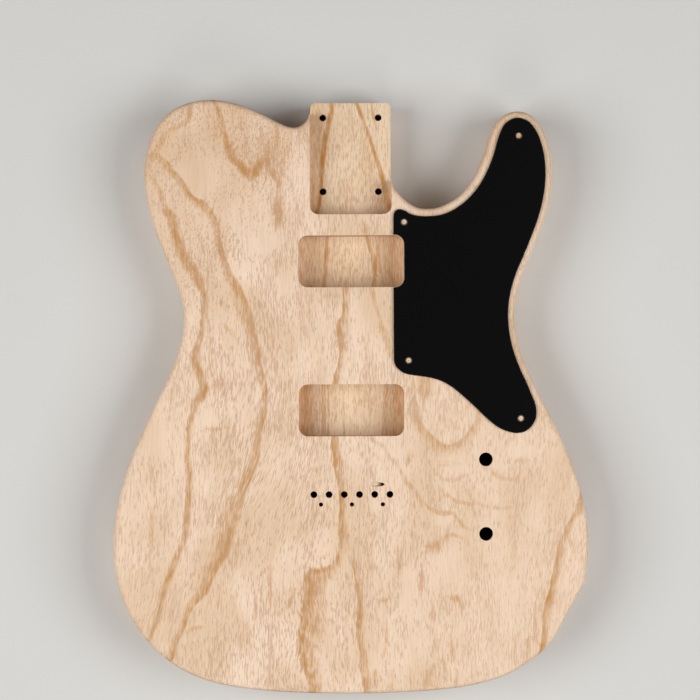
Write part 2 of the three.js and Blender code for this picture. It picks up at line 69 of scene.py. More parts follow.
# Grain, read on the body's face: the golden bands of open early wood, with which each year's ring
# starts. A band's points are x and y in millimetres, from the centre line and from halfway along the body,
# then half of its width in millimetres, and how dark it is in hundredths. Before them stands the band's
# crisp side, where the ring starts: 1 for the left of the way the points run, -1 for the right, 0 for
# neither.
RING_BANDS = (
    (0, (
        (-139, 152, 1.5, 25), (-135, 149, 1.5, 30), (-132, 144, 1.5, 30), (-130, 139, 2, 30),
        (-128, 133, 2, 40), (-126, 128, 3.5, 55), (-122, 122, 4, 60), (-120, 114, 4, 60),
        (-118, 107, 4, 60), (-116, 99, 4, 60), (-112, 92, 4, 60), (-108, 86, 4, 55), (-104, 80, 3.5, 55),
        (-101, 73, 2.5, 55), (-100, 66, 2.5, 60), (-100, 59, 2.5, 60), (-101, 51, 2.5, 55),
        (-102, 44, 2, 50), (-104, 38, 2.5, 55), (-106, 31, 3, 60), (-107, 24, 3, 60),
        (-105, 19, 3.5, 55), (-102, 13, 3.5, 55), (-100, 6, 3.5, 60), (-102, 1, 3.5, 60),
        (-106, -3, 3, 50), (-108, -9, 2.5, 45), (-110, -16, 2.5, 45), (-111, -24, 2, 50),
        (-112, -33, 2, 50), (-112, -43, 2.5, 50), (-111, -53, 2.5, 60), (-111, -63, 2.5, 60),
        (-112, -77, 2.5, 60), (-113, -87, 2.5, 55), (-114, -95, 2.5, 50), (-117, -103, 2.5, 45),
        (-120, -110, 2.5, 50), (-123, -118, 2.5, 55), (-126, -125, 2.5, 55), (-128, -133, 2, 50),
        (-130, -141, 2, 50), (-132, -148, 2, 50), (-135, -157, 1.5, 50), (-138, -164, 1.5, 45),
        (-140, -172, 1.5, 40),
    )),
    (1, (
        (-130, 164, 1.5, 35), (-126, 160, 2.5, 48), (-122, 154, 2.5, 45), (-118, 150, 2.5, 45),
        (-114, 145, 2.5, 46), (-111, 139, 2.5, 46), (-107, 135, 2.5, 48), (-101, 132, 3.5, 50),
        (-96, 127, 3, 50), (-93, 121, 2.5, 48), (-91, 115, 2.5, 46), (-90, 106, 2.5, 48),
        (-88, 98, 2.5, 55), (-85, 90, 2.5, 55), (-83, 83, 3.5, 48), (-79, 76, 4.5, 48), (-76, 69, 5, 48),
        (-73, 61, 5.5, 48), (-70, 53, 5, 46), (-68, 45, 4.5, 44), (-66, 37, 4, 46), (-64, 30, 3, 42),
        (-63, 22, 2.5, 50), (-61, 15, 2.5, 50), (-59, 7, 2.5, 50), (-59, -1, 2.5, 50),
        (-59, -9, 2.5, 45), (-61, -16, 2.5, 55), (-63, -24, 2.5, 45), (-64, -33, 3, 45),
        (-65, -41, 3.5, 45), (-68, -48, 4, 45), (-71, -55, 4.5, 60), (-74, -61, 4, 50),
        (-76, -68, 4, 46), (-79, -75, 6, 42), (-81, -81, 7.5, 40), (-84, -88, 7, 45),
        (-86, -97, 6.5, 52), (-88, -106, 6, 52), (-92, -113, 5, 54), (-97, -121, 5, 44),
        (-99, -127, 4.5, 50), (-101, -132, 4, 50), (-104, -136, 3.5, 55), (-109, -141, 3, 55),
        (-112, -147, 2.5, 50), (-114, -153, 2.5, 50), (-116, -159, 2.5, 45), (-119, -164, 2, 50),
        (-122, -170, 2.5, 30), (-123, -176, 3, 50), (-127, -185, 2, 40),
    )),
    (0, (
        (-93, 203, 1.5, 40), (-91, 196, 2, 45), (-88, 190, 2, 50), (-87, 182, 2.5, 50),
        (-85, 175, 2.5, 50), (-83, 169, 3, 55), (-81, 164, 3.5, 60), (-76, 159, 3, 55),
        (-72, 154, 4, 60), (-68, 151, 4, 65), (-64, 154, 4, 60), (-61, 160, 3.5, 60),
        (-58, 161, 3.5, 55), (-55, 157, 3.5, 50), (-52, 152, 3.5, 50), (-49, 147, 3, 40),
        (-49, 141, 2, 25), (-49, 134, 2, 20), (-50, 129, 3.5, 45), (-49, 124, 4, 50), (-50, 119, 3, 40),
        (-51, 114, 1.5, 20),
    )),
    (0, (
        (-109, 202, 2, 30), (-109, 196, 2.5, 40), (-110, 190, 2, 28), (-114, 186, 2, 25),
        (-119, 184, 2, 25), (-123, 182, 2, 25), (-127, 178, 2, 28), (-130, 173, 2.5, 28),
        (-132, 169, 2.5, 25), (-136, 163, 2.5, 22), (-139, 157, 2, 18),
    )),
    (-1, (
        (-3, 81, 3, 55), (-4, 74, 3, 55), (-4, 67, 2.5, 55), (-4, 60, 2.5, 55), (-5, 54, 2.5, 55),
        (-8, 49, 3.5, 60), (-8, 43, 3, 55), (-7, 35, 2.5, 45), (-7, 28, 2.5, 40), (-8, 21, 2.5, 45),
        (-10, 15, 2.5, 55), (-12, 7, 2.5, 55), (-13, -9, 3, 55), (-12, -28, 3, 60), (-12, -34, 3.5, 60),
        (-11, -40, 4, 55), (-10, -47, 3.5, 55), (-9, -54, 3, 55), (-8, -61, 2.5, 60), (-7, -68, 2.5, 60),
        (-7, -76, 2.5, 60), (-7, -83, 2.5, 50), (-7, -91, 3.5, 45), (-7, -98, 3, 45),
        (-8, -105, 2.5, 45), (-9, -110, 2.5, 50), (-12, -115, 3, 55), (-15, -118, 4, 55),
        (-20, -121, 6, 56), (-26, -121, 7, 56), (-28, -125, 8, 52), (-28, -131, 9, 50),
        (-28, -139, 9.5, 50), (-29, -147, 9.5, 52), (-30, -156, 9.5, 54), (-32, -166, 8.5, 56),
        (-32, -174, 7.5, 58), (-31, -182, 6.5, 58), (-28, -190, 5.5, 60), (-26, -203, 4.5, 50),
    )),
    (-1, (
        (-1, -96, 1, 10), (0, -105, 1, 16), (1, -112, 1.5, 26), (2, -119, 1.5, 34), (3, -126, 2, 42),
        (4, -133, 2, 44), (5, -141, 2, 52), (5, -150, 2.5, 52), (4, -158, 2.5, 55), (5, -166, 2.5, 55),
        (6, -173, 2.5, 55), (7, -180, 3, 55), (7, -187, 3, 50), (9, -193, 3.5, 55), (10, -203, 3, 50),
    )),
    (0, (
        (13, 79, 2, 45), (14, 75, 2, 45), (15, 68, 2, 40), (17, 61, 1.5, 30), (19, 54, 1.5, 25),
        (21, 47, 2, 30), (24, 41, 2.5, 40), (25, 35, 2, 35), (26, 28, 1.5, 20),
    )),
    (0, (
        (14, -30, 1.5, 14), (22, -34, 1.5, 18), (25, -41, 1.5, 18), (31, -47, 1.5, 22),
        (35, -54, 1.5, 24), (37, -59, 2, 28), (41, -62, 2, 32), (45, -67, 1.5, 32), (47, -71, 1.5, 22),
        (52, -76, 1.5, 24), (56, -78, 2, 32), (60, -80, 2, 34), (65, -80, 2, 34), (69, -80, 1.5, 32),
        (72, -84, 1.5, 26), (75, -88, 1.5, 26), (79, -91, 1.5, 26), (83, -91, 1.5, 20), (86, -89, 1.5, 12),
    )),
    (0, (
        (60, -70, 1.5, 16), (63, -67, 1.5, 20), (67, -68, 1.5, 18), (69, -71, 1.5, 28),
        (73, -72, 2, 34), (77, -73, 1.5, 28), (81, -74, 1.5, 18), (86, -73, 1.5, 14),
        (90, -75, 1.5, 16), (96, -76, 1.5, 12), (101, -77, 1.5, 18), (108, -76, 1.5, 14),
    )),
    (0, (
        (58, -53, 1.5, 12), (63, -57, 1.5, 20), (69, -58, 1.5, 15), (75, -55, 1.5, 20),
        (81, -53, 1.5, 12),
    )),
    (0, (
        (94, -49, 1.5, 16), (97, -53, 2, 20), (101, -56, 2, 24), (107, -57, 1.5, 24), (111, -57, 2, 30),
        (114, -54, 1.5, 20), (118, -48, 1.5, 12),
    )),
    (1, (
        (41, 14, 2.5, 22), (42, 6, 2.5, 26), (42, -1, 3, 30), (43, -8, 3.5, 31), (44, -14, 3.5, 33),
        (47, -21, 3.5, 38), (51, -26, 3.5, 42), (56, -31, 4, 44), (61, -35, 4, 45), (66, -36, 4, 45),
        (71, -34, 3.5, 42), (76, -31, 3, 36), (80, -27, 3, 36), (83, -22, 3, 33), (86, -16, 2.5, 30),
        (87, -11, 2.5, 24), (86, -5, 2, 18),
    )),
    (-1, (
        (160, -60, 2, 30), (158, -66, 2, 35), (156, -71, 2.5, 50), (155, -77, 3, 55),
        (151, -83, 2, 55), (148, -88, 2, 50), (146, -93, 2.5, 58), (144, -98, 2.5, 50),
        (142, -102, 2.5, 50), (141, -108, 2.5, 60), (140, -113, 2.5, 50), (139, -120, 2.5, 50),
        (137, -126, 2.5, 60), (136, -132, 2.5, 60), (134, -139, 3, 60), (132, -146, 2.5, 55),
        (131, -154, 2.5, 55), (131, -161, 2.5, 60), (130, -169, 2.5, 60), (129, -179, 2, 50),
    )),
)
# Short streaks and clouds of the same golden wood, which belong to no whole band
STREAKS = (
    ((-87, -77, 3.5, 35), (-90, -85, 2.5, 35), (-90, -95, 2, 25)),
    ((-50, 187, 5.5, 25), (-51, 179, 7.5, 28), (-53, 168, 8, 36), (-56, 157, 7, 38)),
    (
        (-43, 185, 2.5, 26), (-44, 175, 3.5, 30), (-45, 167, 3, 30), (-46, 159, 2.5, 28),
        (-48, 151, 2.5, 28),
    ),
    ((-91, 186, 2.5, 20), (-92, 177, 2, 15)),
    ((-3, 54, 2.5, 20), (-4, 39, 3.5, 20), (-5, 24, 2.5, 15)),
    ((8, 118, 2, 25), (9, 114, 2.5, 35), (11, 109, 2, 30)),
    ((61, -47, 1.5, 20), (67, -47, 1.5, 20), (73, -46, 1.5, 10)),
    ((113, -44, 1.5, 15), (116, -43, 2, 30), (120, -44, 1.5, 15)),
    (
        (53, -102, 2.5, 30), (58, -102, 4, 40), (62, -99, 2.5, 35), (66, -94, 1.5, 35),
        (71, -95, 1.5, 30), (75, -97, 1, 10),
    ),
    ((39, -38, 1.5, 20), (39, -43, 2, 30), (38, -46, 1.5, 25)),
    ((50, 11, 5, 50), (50, 4, 5, 50), (50, 0, 3.5, 40)),
    ((52, -34, 3.5, 15), (64, -40, 3.5, 18), (74, -37, 2.5, 12)),
    ((64, -11, 2, 12), (65, -19, 2.5, 16), (71, -22, 2, 16)),
    ((125, -143, 1.5, 25), (125, -153, 1.5, 30), (124, -164, 1.5, 25)),
    ((120, -166, 1.5, 30), (119, -177, 1.5, 30)),
    ((111, -165, 1.5, 15), (110, -180, 1.5, 20)),
    ((32, -107, 1.5, 30), (32, -115, 2, 40), (32, -122, 1.5, 25)),
    ((47, -120, 1.5, 30), (47, -127, 2, 40), (47, -134, 1.5, 30)),
    ((23, -151, 1, 20), (23, -161, 1.5, 25), (23, -170, 1.5, 30), (21, -177, 1.5, 25)),
    ((18, -139, 1.5, 25), (23, -139, 1.5, 25)),
    ((55, -142, 1, 20), (55, -148, 2, 35), (55, -153, 1.5, 20)),
    ((66, -137, 1.5, 20), (72, -138, 2.5, 40), (75, -142, 1.5, 25), (75, -149, 1, 20)),
    ((68, -165, 1, 25), (68, -173, 1.5, 40), (68, -180, 1.5, 30)),
    ((62, -180, 1.5, 30), (63, -185, 1.5, 35), (64, -192, 1.5, 30)),
    ((71, -189, 1.5, 35), (71, -196, 1.5, 30)),
    ((56, -168, 1.5, 20), (55, -177, 1.5, 15)),
    ((54, -185, 2, 20), (50, -195, 2, 20)),
    ((15, -189, 2, 25), (15, -199, 1.5, 20)),
    ((27, -191, 2.5, 20), (26, -202, 2, 20)),
    ((-136, -78, 1.5, 20), (-137, -87, 1.5, 25), (-137, -98, 1.5, 20)),
    ((-56, -115, 1.5, 25), (-56, -124, 1.5, 35), (-56, -133, 1, 30), (-56, -143, 1, 20)),
    ((-66, -137, 1, 20), (-66, -145, 1.5, 30), (-65, -153, 1, 20)),
    ((-41, -132, 2, 25), (-43, -143, 1.5, 20)),
    ((-91, -129, 1, 20), (-91, -137, 1.5, 30), (-92, -144, 1, 20)),
    ((-99, -76, 1.5, 20), (-99, -82, 1.5, 25)),
    ((-72, -79, 1.5, 20), (-72, -91, 1.5, 25), (-74, -100, 1, 20)),
    ((-78, -101, 1.5, 20), (-79, -113, 1, 15)),
    ((-103, -157, 1.5, 20), (-108, -157, 1.5, 30), (-112, -160, 1.5, 30)),
    ((-89, 66, 1.5, 25), (-86, 61, 2, 30)),
    ((-86, 48, 1.5, 20), (-82, 44, 2, 30), (-79, 40, 1.5, 20)),
    ((-97, 54, 1, 25), (-97, 42, 1.5, 25), (-96, 31, 1, 20)),
    ((-96, 20, 2, 20), (-94, 10, 2, 25), (-93, 2, 1.5, 15)),
    ((-89, 12, 1.5, 25), (-87, 3, 1.5, 25)),
    ((-96, -22, 1.5, 25), (-91, -22, 1.5, 35), (-87, -21, 1, 20)),
    ((-122, 6, 1.5, 20), (-123, -2, 1.5, 20)),
)
# The same in the floors of the cavities, which lie in deeper wood: lines first, then wide shades, which are
# partly golden wood and partly painted shade next to the walls
FLOOR_FIGURES_AND_SHADES = {
    "neck_pocket": (
        (
            (
                (-13, 205, 1.5, 80), (-13, 195, 2, 85), (-15, 187, 2, 95), (-17, 178, 2, 95),
                (-19, 167, 2, 90), (-20, 151, 1.5, 95), (-21, 135, 1.5, 95), (-24, 124, 2, 80),
            ),
            (
                (3, 205, 1.5, 60), (6, 197, 1.5, 75), (9, 189, 1.5, 65), (12, 180, 1.5, 60),
                (16, 168, 1.5, 65), (20, 156, 2, 65), (23, 145, 2, 75), (25, 135, 2.5, 65), (28, 124, 3, 60),
            ),
            ((14, 203, 1, 45), (16, 192, 1.5, 50), (18, 183, 1, 35)),
            ((-2, 146, 1, 25), (-3, 131, 1, 30), (-3, 122, 1, 25)),
        ),
        (
            ((-23, 200, 6, 20), (-25, 169, 7, 32), (-26, 142, 6, 32), (-27, 125, 6, 32)),
            ((10, 175, 5, 18), (14, 150, 6, 20), (19, 125, 6, 20)),
        ),
    ),
    "neck_pickup_cavity": (
        (
            ((-16, 115, 1, 60), (-17, 99, 1.5, 60), (-18, 84, 1.5, 65), (-19, 73, 2, 60)),
            ((10, 115, 1, 50), (12, 105, 1.5, 50), (15, 96, 1.5, 55), (16, 84, 1.5, 55), (16, 72, 2, 50)),
            ((20, 112, 1, 35), (19, 98, 1, 40), (21, 84, 1.5, 35)),
            ((27, 110, 1, 40), (28, 95, 1.5, 40), (26, 80, 1, 40)),
        ),
        (
            ((-26, 115, 9.5, 18), (-27, 93, 9.5, 18), (-27, 72, 9.5, 20)),
            ((28, 114, 7, 28), (28, 90, 6.5, 28), (27, 72, 7, 34)),
        ),
    ),
    "bridge_pickup_cavity": (
        (
            ((-20, 13, 0.8, 30), (-20, -32, 0.8, 30)),
            ((-16, 13, 0.8, 30), (-16, -32, 0.8, 30)),
            ((-6, 13, 1, 22), (-5, -32, 1, 30)),
            ((24, 12, 2, 38), (23, -32, 2, 38)),
        ),
        (
            ((-33, 13, 6.5, 52), (-33, -10, 6.5, 48), (-33, -32, 7, 54)),
            ((33, 12, 6, 44), (33, -32, 6, 48)),
        ),
    ),
}
# Where the fibres lean away from the body's length: x, y, reach across and reach along in millimetres, and
# how far they go sideways for each millimetre along
FIBRE_LEANS = (
    (-62, -62, 27, 36, 0.38),
    (-128, -140, 22, 45, 0.22),
    (138, -95, 24, 50, 0.16),
)
# Calm patches of dense wood with hardly a pore: x, y, reach across and reach along in millimetres
CALM_PATCHES = (
    (64, -118, 13, 16),
    (38, -132, 6, 20),
    (45, -176, 8, 16),
    (68, -43, 9, 8),
    (61, -85, 9, 4),
    (12, 58, 8, 12),
    (-60, 104, 9, 6),
    (-97, -14, 6, 7),
    (-133, -30, 8, 13),
    (116, -38, 11, 5),
    (-45, 78, 6, 10),
    (-105, 150, 12, 12),
)
# How much a calm patch takes from the openness of its pores
CALM_STRENGTH = 0.13
# How far sideways the rings run for each unit of depth
RING_LEAN = 0.65
# In half widths from a band's middle: how far it is traced, how far its dark holds, and where that has gone
BAND_REACH = 4.5
BAND_HOLD = 1.6
BAND_END = 2.3
# A routed floor's own figure covers the points between these depths, to this far outside its opening's box
ROUT_LEAST_DEPTH = 8 * MM
ROUT_MOST_DEPTH = 25 * MM
ROUT_MARGIN = 4 * MM
# The slanted wire bore, seen from above, and how strongly shade is painted on its wall at some depths: none
# near the face, full deep inside
WIRE_BORE = np.array(((12, -62), (60, -58))) * MM
WIRE_DEPTHS = np.array((1.7, 2.4, 25, 28)) * MM
WIRE_BORE_SHADES = (0, 1, 1, 0)
# What is stored at each point of the boards, for their material to read
FIGURE_NAMES = (
    "band", "band_dark", "band_crisp", "streak_and_floor_shade", "streak_and_floor_shade_dark",
    "fibre_lean", "calm", "routed_floor", "drilled",
)

# Sizes of what the ash shows, in millimetres across and along the grain, and how many octaves each has.
# A real pore is about 0.3 mm wide. Even the finest are drawn more than twice as wide, so that they show in a
# picture of the whole body.
GRAIN_NOISES = {
    "fibres": (0.8, 16, 2.0),
    "fine_pores": (0.75, 6, 2.0),
    "short_pores": (0.8, 2.2, 2.0),
    "pores": (1.1, 7, 1.0),
    "vessel_lines": (1.3, 40, 1.0),
    "blotches": (3, 8, 1.0),
    "streaks": (5, 50, 3.0),
    "patches": (18, 45, 1.0),
    "clouds": (30, 50, 1.0),
}
WANDER_SIZE = 45 * MM
# A noise's middle, and the window that holds most of it
NOISE_MIDDLE = 0.5
NOISE_LOW, NOISE_HIGH = 0.35, 0.65
# In half widths, where a band's gold starts to fade and where it is gone, then how strong the gold is: each
# on the soft side and on the crisp side
BAND_SIDES = ((0.2, 0.4), (1.8, 0.9), (0.85, 1.15))
# The same for a streak and for a floor's wide shade, whose two sides are alike
STREAK_SIDES = (0.0, 1.7, 1.0)
# The least and the most that the gold is multiplied by as each noise changes
GOLD_CHANGES = {"fibres": (0.6, 1.3), "blotches": (0.65, 1.25)}
# The way to the upper bout, and how far along it the pores start to be short and are all short
TOWARD_BOUT = (-1.5, 1, 0)
SHORT_FROM, SHORT_TO = 0.13, 0.29
# What golden wood, the poorest patch and the richest patch add to the openness of the pores
GOLD_OPENNESS = 0.2
POOREST_PATCH, RICHEST_PATCH = -0.045, 0.04
# Where across the body the pores show most, and how strongly they show near it and far from it
BUSY_PLACE = -45 * MM
BUSY_NEAR, BUSY_FAR = 30 * MM, 120 * MM
BUSY_MOST, BUSY_LEAST = 1.15, 0.85
# How dark and how light the fibres are, and how dark the end grain is and from which turn of a wall it starts
FIBRE_DARK, FIBRE_LIGHT = 0.945, 1.045
END_GRAIN_SHADE = 0.8
END_GRAIN_TURN = 0.6

# How strongly ABS bends light, and the size of the uneven spots on the sheet and on the steel
ABS_IOR = 1.52
SHEET_RIPPLE = 1.2 * MM
STEEL_UNEVENNESS = 0.6 * MM

# Meshes: the sanded edge's radius, and how far its facets are looked for, as a share of it
EDGE_ROUND = 3.2 * MM
EDGE_LOOK = 1.01
WALL_STEP = 4 * MM
# How upright a face's normal is on a flat face, and on the facets of the sanded edge at least and at most
FLAT_COSINE = 0.999
EDGE_LEAST, EDGE_MOST = 0.1, 0.995
# Facets that turn by less than this from one to the next are shaded as one curve
SMOOTH_COSINE = math.cos(math.radians(28))
MERGE_DISTANCE = 1e-6
CUT_DISTANCE = MERGE_DISTANCE / 10
COPLANAR_ANGLE = math.radians(0.5)
# Keeps a vector of no length from being divided by zero
TINY = 1e-12

# Picture: the camera looks straight down, turned a little, from nearly two metres
CAMERA_PLACE = Vector((-0.00091, 0.0317, 1.94445))
CAMERA_TURN = -0.00392
CAMERA_ANGLE = math.radians(14.32)
SENSOR_WIDTH = 36.0
FLOOR_DROP = 0.2 * MM
# How far the floor goes, and past the lamps' reach, between which distances it turns evenly pale, in metres
FLOOR_REACH = 12.0
EVEN_FROM, EVEN_TO = 0.7, 1.9
EVEN_STRENGTH = 0.97


def linear(hex_colour):
    """An sRGB hex colour as linear red, green, blue and alpha."""
    channels = [int(hex_colour[i : i + 2], 16) / 255 for i in (1, 3, 5)]
    return tuple(c / 12.92 if c <= 0.04045 else ((c + 0.055) / 1.055) ** 2.4 for c in channels) + (1.0,)


def colour(name, description, hex_colour):
    return FloatVectorProperty(
        name=name, description=description, subtype="COLOR", size=4, min=0, max=1, default=linear(hex_colour),
    )


def number(name, description, value, **details):
    return FloatProperty(name=name, description=description, default=value, **details)


def length(name, description, metres):
    return number(name, description, metres, min=0, unit="LENGTH", precision=5)


class AshSettings(bpy.types.PropertyGroup):
    """Sizes and colours of the bare ash."""

    pale: colour("Pale wood", "Dense late wood, freshly sanded", "#F9DDC3")
    pale_warm: colour("Warm wood", "The other tone that clouds the pale wood", "#EBCBAB")
    # The floor bands' colour also paints shade next to the cavities' walls
    floor_band_and_shade: colour("Floor bands and shade", "Early wood in the routed floors, browner, and painted shade along their walls", "#CC8C30")
    upper_tint: colour("Upper tint", "Browner wood in the upper bout", "#D2A67C")
    # The routed floors are tinted warmer and a little darker
    floor_tint: colour("Routed floor", "A warmer, darker tint for the routed floors", "#EBD2AE")
    # Painted shade, laid on the deep wall of the wire bore
    bore_shade_colour: colour("Bore shade", "Painted shade on the deep wall of the wire bore", "#24130B")
    band_gold: colour("Band gold", "Open early wood where a year's ring starts", "#CB9038")
    pore: colour("Pores", "Cut pores, which hold shade and dust", "#B07C52")
    mesh_step: length("Mesh step", "Spacing of the points that carry the grain figure", 2.0 * MM)
    wander: length("Wander", "How far the grain wanders sideways", 6 * MM)
    fray: number("Fray", "How far the pores fray the bands, in half widths", 0.7)


class PlasticSettings(bpy.types.PropertyGroup):
    """Colours and surfaces of the guard and the back cover."""

    guard_black: colour("Guard black", "Sheet plastic of the guard", "#060606")
    cover_black: colour("Cover black", "Moulded plastic of the back cover", "#141414")
    moulded_grain: length("Moulded grain", "Spacing of the cover's fine moulded grain", 0.9 * MM)


class SteelSettings(bpy.types.PropertyGroup):
    """Colour of the cover screws."""

    oxide_black: colour("Oxide black", "Blackened steel", "#4A4A4E")


class StageSettings(bpy.types.PropertyGroup):
    """Floor and lamps."""

    floor: colour("Floor", "Plain pale floor", "#DAD9D6")
    side_power: number("Side lamps", "Large soft lamps, left and right", 30.8, unit="POWER")
    tail_power: number("Tail lamp", "Soft lamp on the tail side", 6.0, unit="POWER")
    sky: number("Sky", "Strength of the even light from all round", 0.06)


class GuitarBodySettings(bpy.types.PropertyGroup):
    """Everything that can be set on the guitar body."""

    ash: PointerProperty(type=AshSettings)
    plastic: PointerProperty(type=PlasticSettings)
    steel: PointerProperty(type=SteelSettings)
    stage: PointerProperty(type=StageSettings)


def set_inputs(tree, node, inputs):
    """Gives each input its value, or links it from a node or an output."""
    for key, value in inputs.items():
        if isinstance(value, bpy.types.Node):
            value = next(output for output in value.outputs if output.enabled)
        if isinstance(value, bpy.types.NodeSocket):
            tree.links.new(value, node.inputs[key])
        else:
            node.inputs[key].default_value = value


def add_node(tree, kind, inputs=None, **settings):
    """Adds a shader node with its settings, values and links."""
    node = tree.nodes.new(kind)
    for name, value in settings.items():
        setattr(node, name, value)
    set_inputs(tree, node, inputs or {})
    return node


def new_material(name):
    """A material with only its principled shader and output, and the place that textures are laid from."""
    material = bpy.data.materials.new(name)
    material.use_nodes = True
    tree = material.node_tree
    tree.nodes.clear()
    shader = add_node(tree, "ShaderNodeBsdfPrincipled")
    add_node(tree, "ShaderNodeOutputMaterial", {"Surface": shader}, name="output")
    place = add_node(tree, "ShaderNodeTexCoord").outputs["Object"]
    return material, tree, shader, place


# Ash


def trace_bands(places, bands, crisp_sides):
    """How far each place is from the nearest band's middle, in half widths and signed by its side, how dark
    that band is there, and whether the place is on its crisp side. The dark ends long before the reach does,
    so that no change of side or of band shows."""
    offset_found = np.full(len(places), BAND_REACH)
    dark_found = np.zeros(len(places))
    crisp_found = np.zeros(len(places))
    for band, crisp_side in zip(bands, crisp_sides):
        band = np.array(band, float)
        middle, half, dark = band[:, :2] * MM, band[:, 2] * MM, band[:, 3] / 100
        margin = BAND_REACH * half.max()
        near = np.flatnonzero(((places > middle.min(0) - margin) & (places < middle.max(0) + margin)).all(1))
        for i in range(len(middle) - 1):
            run = middle[i + 1] - middle[i]
            share = np.clip((places[near] - middle[i]) @ run / (run @ run), 0, 1)
            gap = places[near] - middle[i] - share[:, None] * run
            side = np.where(run[0] * gap[:, 1] > run[1] * gap[:, 0], 1, -1)
            offset = side * np.linalg.norm(gap, axis=1) / (half[i] + share * (half[i + 1] - half[i]))
            nearer = np.abs(offset) < np.abs(offset_found[near])
            offset_found[near[nearer]] = offset[nearer]
            dark_found[near[nearer]] = (dark[i] + share * (dark[i + 1] - dark[i]))[nearer]
            crisp_found[near[nearer]] = crisp_side * side[nearer]
    hold = (BAND_END - np.abs(offset_found)) / (BAND_END - BAND_HOLD)
    return offset_found, dark_found * np.clip(hold, 0, 1), crisp_found


def trace_floors(points, depth, traced):
    """Writes each routed floor's figure over the traced one: its lines, and its wide shades, which are partly
    painted shade next to the walls. Returns 1 on the floors' points, 0 elsewhere.
    """
    is_floor = np.zeros(len(points))
    for opening in frame["record"]["physics"]["openings"]:
        if opening["name"] in FLOOR_FIGURES_AND_SHADES:
            low, high = np.array(opening["box_m"])[:, :2]
            in_box = ((points[:, :2] > low - ROUT_MARGIN) & (points[:, :2] < high + ROUT_MARGIN)).all(1)
            floor = np.flatnonzero(in_box & (depth > ROUT_LEAST_DEPTH) & (depth < ROUT_MOST_DEPTH))
            for face_figure, floor_lines_and_shades in zip(traced, FLOOR_FIGURES_AND_SHADES[opening["name"]]):
                found = trace_bands(points[floor, :2], floor_lines_and_shades, [0] * len(floor_lines_and_shades))
                for values, floor_values in zip(face_figure, found):
                    values[floor] = floor_values
            is_floor[floor] = 1
    return is_floor


def off_patch(places, x, y, across, along):
    """How far each place is from a patch's middle, across and along, in shares of the patch's reach."""
    return (places - np.array((x, y)) * MM) / (np.array((across, along)) * MM)


def lean_of_fibres(places):
    """How far the fibres have gone sideways at each place."""
    sideways = np.zeros(len(places))
    for x, y, across, along, slope in FIBRE_LEANS:
        off = off_patch(places, x, y, across, along)
        sideways += slope * along * MM * np.tanh(off[:, 1]) * np.exp(-off[:, 0] ** 2 / 2)
    return sideways


def calm_of_wood(places):
    """How calm the wood is at each place, from 0 to 1."""
    busy = np.ones(len(places))
    for patch in CALM_PATCHES:
        busy *= 1 - np.exp(-(off_patch(places, *patch) ** 2).sum(1) ** 2)
    return 1 - busy


def store_figure(mesh):
    """Gives each point of a board its grain: bands, streaks, leaning fibres, calm patches and routed floors,
    whose wide shades are partly painted shade, and the painted shade on the wall of the wire bore. The rings
    lean, so deeper wood has the figure of the face a little further across."""
    points = mesh_arrays(mesh)[0]
    depth = FACE_HEIGHT - points[:, 2]
    face_places = points[:, :2] + np.outer(depth, (RING_LEAN, 0))
    crisp_sides, bands = zip(*RING_BANDS)
    bands = trace_bands(face_places, bands, crisp_sides)
    streaks = trace_bands(face_places, STREAKS, [0] * len(STREAKS))
    lean, calm = lean_of_fibres(face_places), calm_of_wood(face_places)
    is_floor = trace_floors(points, depth, (bands, streaks))
    # Painted shade: the wire bore's wall is darkened with depth, standing in for the shade deep inside it
    in_bore = ((points[:, :2] > WIRE_BORE[0]) & (points[:, :2] < WIRE_BORE[1])).all(1)
    drilled = in_bore * np.interp(depth, WIRE_DEPTHS, WIRE_BORE_SHADES)
    for name, values in zip(FIGURE_NAMES, (*bands, *streaks[:2], lean, calm, is_floor, drilled)):
        attribute = mesh.attributes.new(name, "FLOAT", "POINT")
        attribute.data.foreach_set("value", values.astype(np.float32))


def whole_faces(node):
    """The node's shape, with its triangles joined into whole flat faces."""
    shape = bmesh.new()
    shape.from_mesh(frame["nodes"][node].data)
    bmesh.ops.remove_doubles(shape, verts=shape.verts, dist=MERGE_DISTANCE)
    bmesh.ops.dissolve_limit(shape, angle_limit=COPLANAR_ANGLE, verts=shape.verts, edges=shape.edges)
    return shape


def finished_mesh(shape, name):
    mesh = bpy.data.meshes.new(name)
    shape.to_mesh(mesh)
    shape.free()
    return mesh


def gridded_copy(node, step):
    """The node's shape with its flat faces cut into a grid, so that its points can carry the grain figure."""
    grid = whole_faces(node)
    low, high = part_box(node)
    for axis, spacing in enumerate((step, step, WALL_STEP)):
        cuts = int((high[axis] - low[axis]) / spacing)
        for cut in range(1, cuts + 1):
            place, way = Vector(), Vector()
            place[axis] = low[axis] + (high[axis] - low[axis]) * cut / (cuts + 1)
            way[axis] = 1
            everything = grid.verts[:] + grid.edges[:] + grid.faces[:]
            bmesh.ops.bisect_plane(grid, geom=everything, plane_co=place, plane_no=way, dist=CUT_DISTANCE)
    return finished_mesh(grid, node)


def mesh_arrays(mesh):
    """Points, each corner's point, each corner's face and each corner's normal, which is its face's own."""
    points = np.empty(len(mesh.vertices) * 3)
    mesh.vertices.foreach_get("co", points)
    corner_point = np.empty(len(mesh.loops), int)
    mesh.loops.foreach_get("vertex_index", corner_point)
    sides = np.empty(len(mesh.polygons), int)
    mesh.polygons.foreach_get("loop_total", sides)
    normals = np.empty(len(mesh.polygons) * 3)
    mesh.polygons.foreach_get("normal", normals)
    corner_face = np.repeat(np.arange(len(sides)), sides)
    return points.reshape(-1, 3), corner_point, corner_face, normals.reshape(-1, 3)[corner_face]


def unit(vectors):
    return vectors / np.maximum(np.linalg.norm(vectors, axis=1, keepdims=True), TINY)


